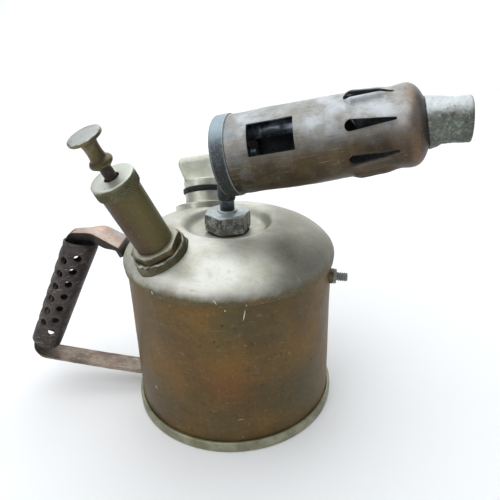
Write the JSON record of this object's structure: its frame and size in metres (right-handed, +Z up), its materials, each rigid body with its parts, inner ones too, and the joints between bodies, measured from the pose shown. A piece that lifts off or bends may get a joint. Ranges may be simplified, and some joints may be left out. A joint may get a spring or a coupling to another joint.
{
  "type": "paraffin blowlamp",
  "caption": "Antique brass pressure blowlamp with a round tank, leaning hand pump, screw filler, tilted burner tube with air slots, drooping nozzle and D handle.",
  "frame": {"origin": "centre of the tank's foot ring, on the surface it stands on", "axes": "+X the way the burner points, +Z up, +Y to the left of the burner"},
  "size_m": [0.2627, 0.1399, 0.1977],
  "materials": {
    "tank_brass": "brown and olive patina, satin, fine scratches",
    "dome_brass": "pale worn brass, satin",
    "burner_brass": "heat-browned brass, satin",
    "cast_collar": "blue-grey cast metal, fine grain",
    "cast_nozzle": "grey-green cast metal with verdigris specks",
    "vaporiser_metal": "sooty pipe",
    "riser_metal": "dark heat-stained pipe",
    "nut_brass": "dark worn brass",
    "inner_brass": "plain turned brass",
    "hex_brass": "olive worn brass",
    "pump_brass": "olive-brown patina",
    "cap_brass": "pale worn brass, knurled edge",
    "knob_brass": "pale worn brass",
    "rod_steel": "darkened steel",
    "spring_steel": "plain wire",
    "stud_steel": "dark grey plated steel",
    "strap_steel": "grey steel with a brown bloom",
    "grip_steel": "dark oxidised sheet steel",
    "filler_brass": "pale worn brass",
    "filler_rubber": "black washer",
    "cup_hide": "oiled leather",
    "fibre": "fibre washer"
  },
  "bodies": {
    "tank": {"tank_side": "tank_brass", "tank_bottom": "tank_brass", "tank_top": "dome_brass", "pump_boss": "dome_brass", "burner_bush": "nut_brass", "burner_washer": "fibre", "riser_nut": "nut_brass", "riser_tube": "riser_metal", "dip_tube": "inner_brass", "strainer": "inner_brass", "burner_collar": "cast_collar", "vaporiser_loop": "vaporiser_metal", "jet_block": "cast_collar", "jet": "inner_brass", "flame_tube": "burner_brass", "nozzle": "cast_nozzle", "pump_hex": "hex_brass", "pump_barrel": "pump_brass", "pump_cap": "cap_brass", "rod_guide": "inner_brass", "valve_body": "inner_brass", "valve_spring": "spring_steel", "filler_neck": "filler_brass", "handle_strap": "strap_steel", "handle_grip": "grip_steel", "stud_boss": "dome_brass", "side_stud": "stud_steel"},
    "pump_plunger": {"pump_rod": "rod_steel", "pump_knob": "knob_brass", "cup_leather": "cup_hide", "cup_plate": "inner_brass", "cup_nut": "inner_brass"},
    "valve": {"valve_pip": "inner_brass"},
    "filler_seal": {"filler_washer": "filler_rubber"},
    "filler_plug": {"filler_cap": "filler_brass"}
  },
  "joints": [
    {"name": "pump_slide", "type": "slide", "parent": "tank", "child": "pump_plunger", "axis": [-0.2351, -0.3641, 0.9012], "range_m": [-0.0065, 0.096]},
    {"name": "valve_lift", "type": "slide", "parent": "tank", "child": "valve", "axis": [0.2351, 0.3641, -0.9012], "range_m": [0, 0.0012], "stiffness_N_per_m": 200, "springref_m": -0.004},
    {"name": "filler_rise", "type": "slide", "parent": "tank", "child": "filler_seal", "axis": [-0.1774, 0.4179, 0.891], "range_m": [0, 0.0075]},
    {"name": "filler_turn", "type": "hinge", "parent": "filler_seal", "child": "filler_plug", "pos_m": [-0.02733, 0.03762, 0.1152], "axis": [-0.1774, 0.4179, 0.891], "range_deg": [0, 1800]}
  ],
  "couplings": [
    {"joint": "filler_turn", "follows": "filler_rise", "rad_per_m": 4188.8}
  ]
}
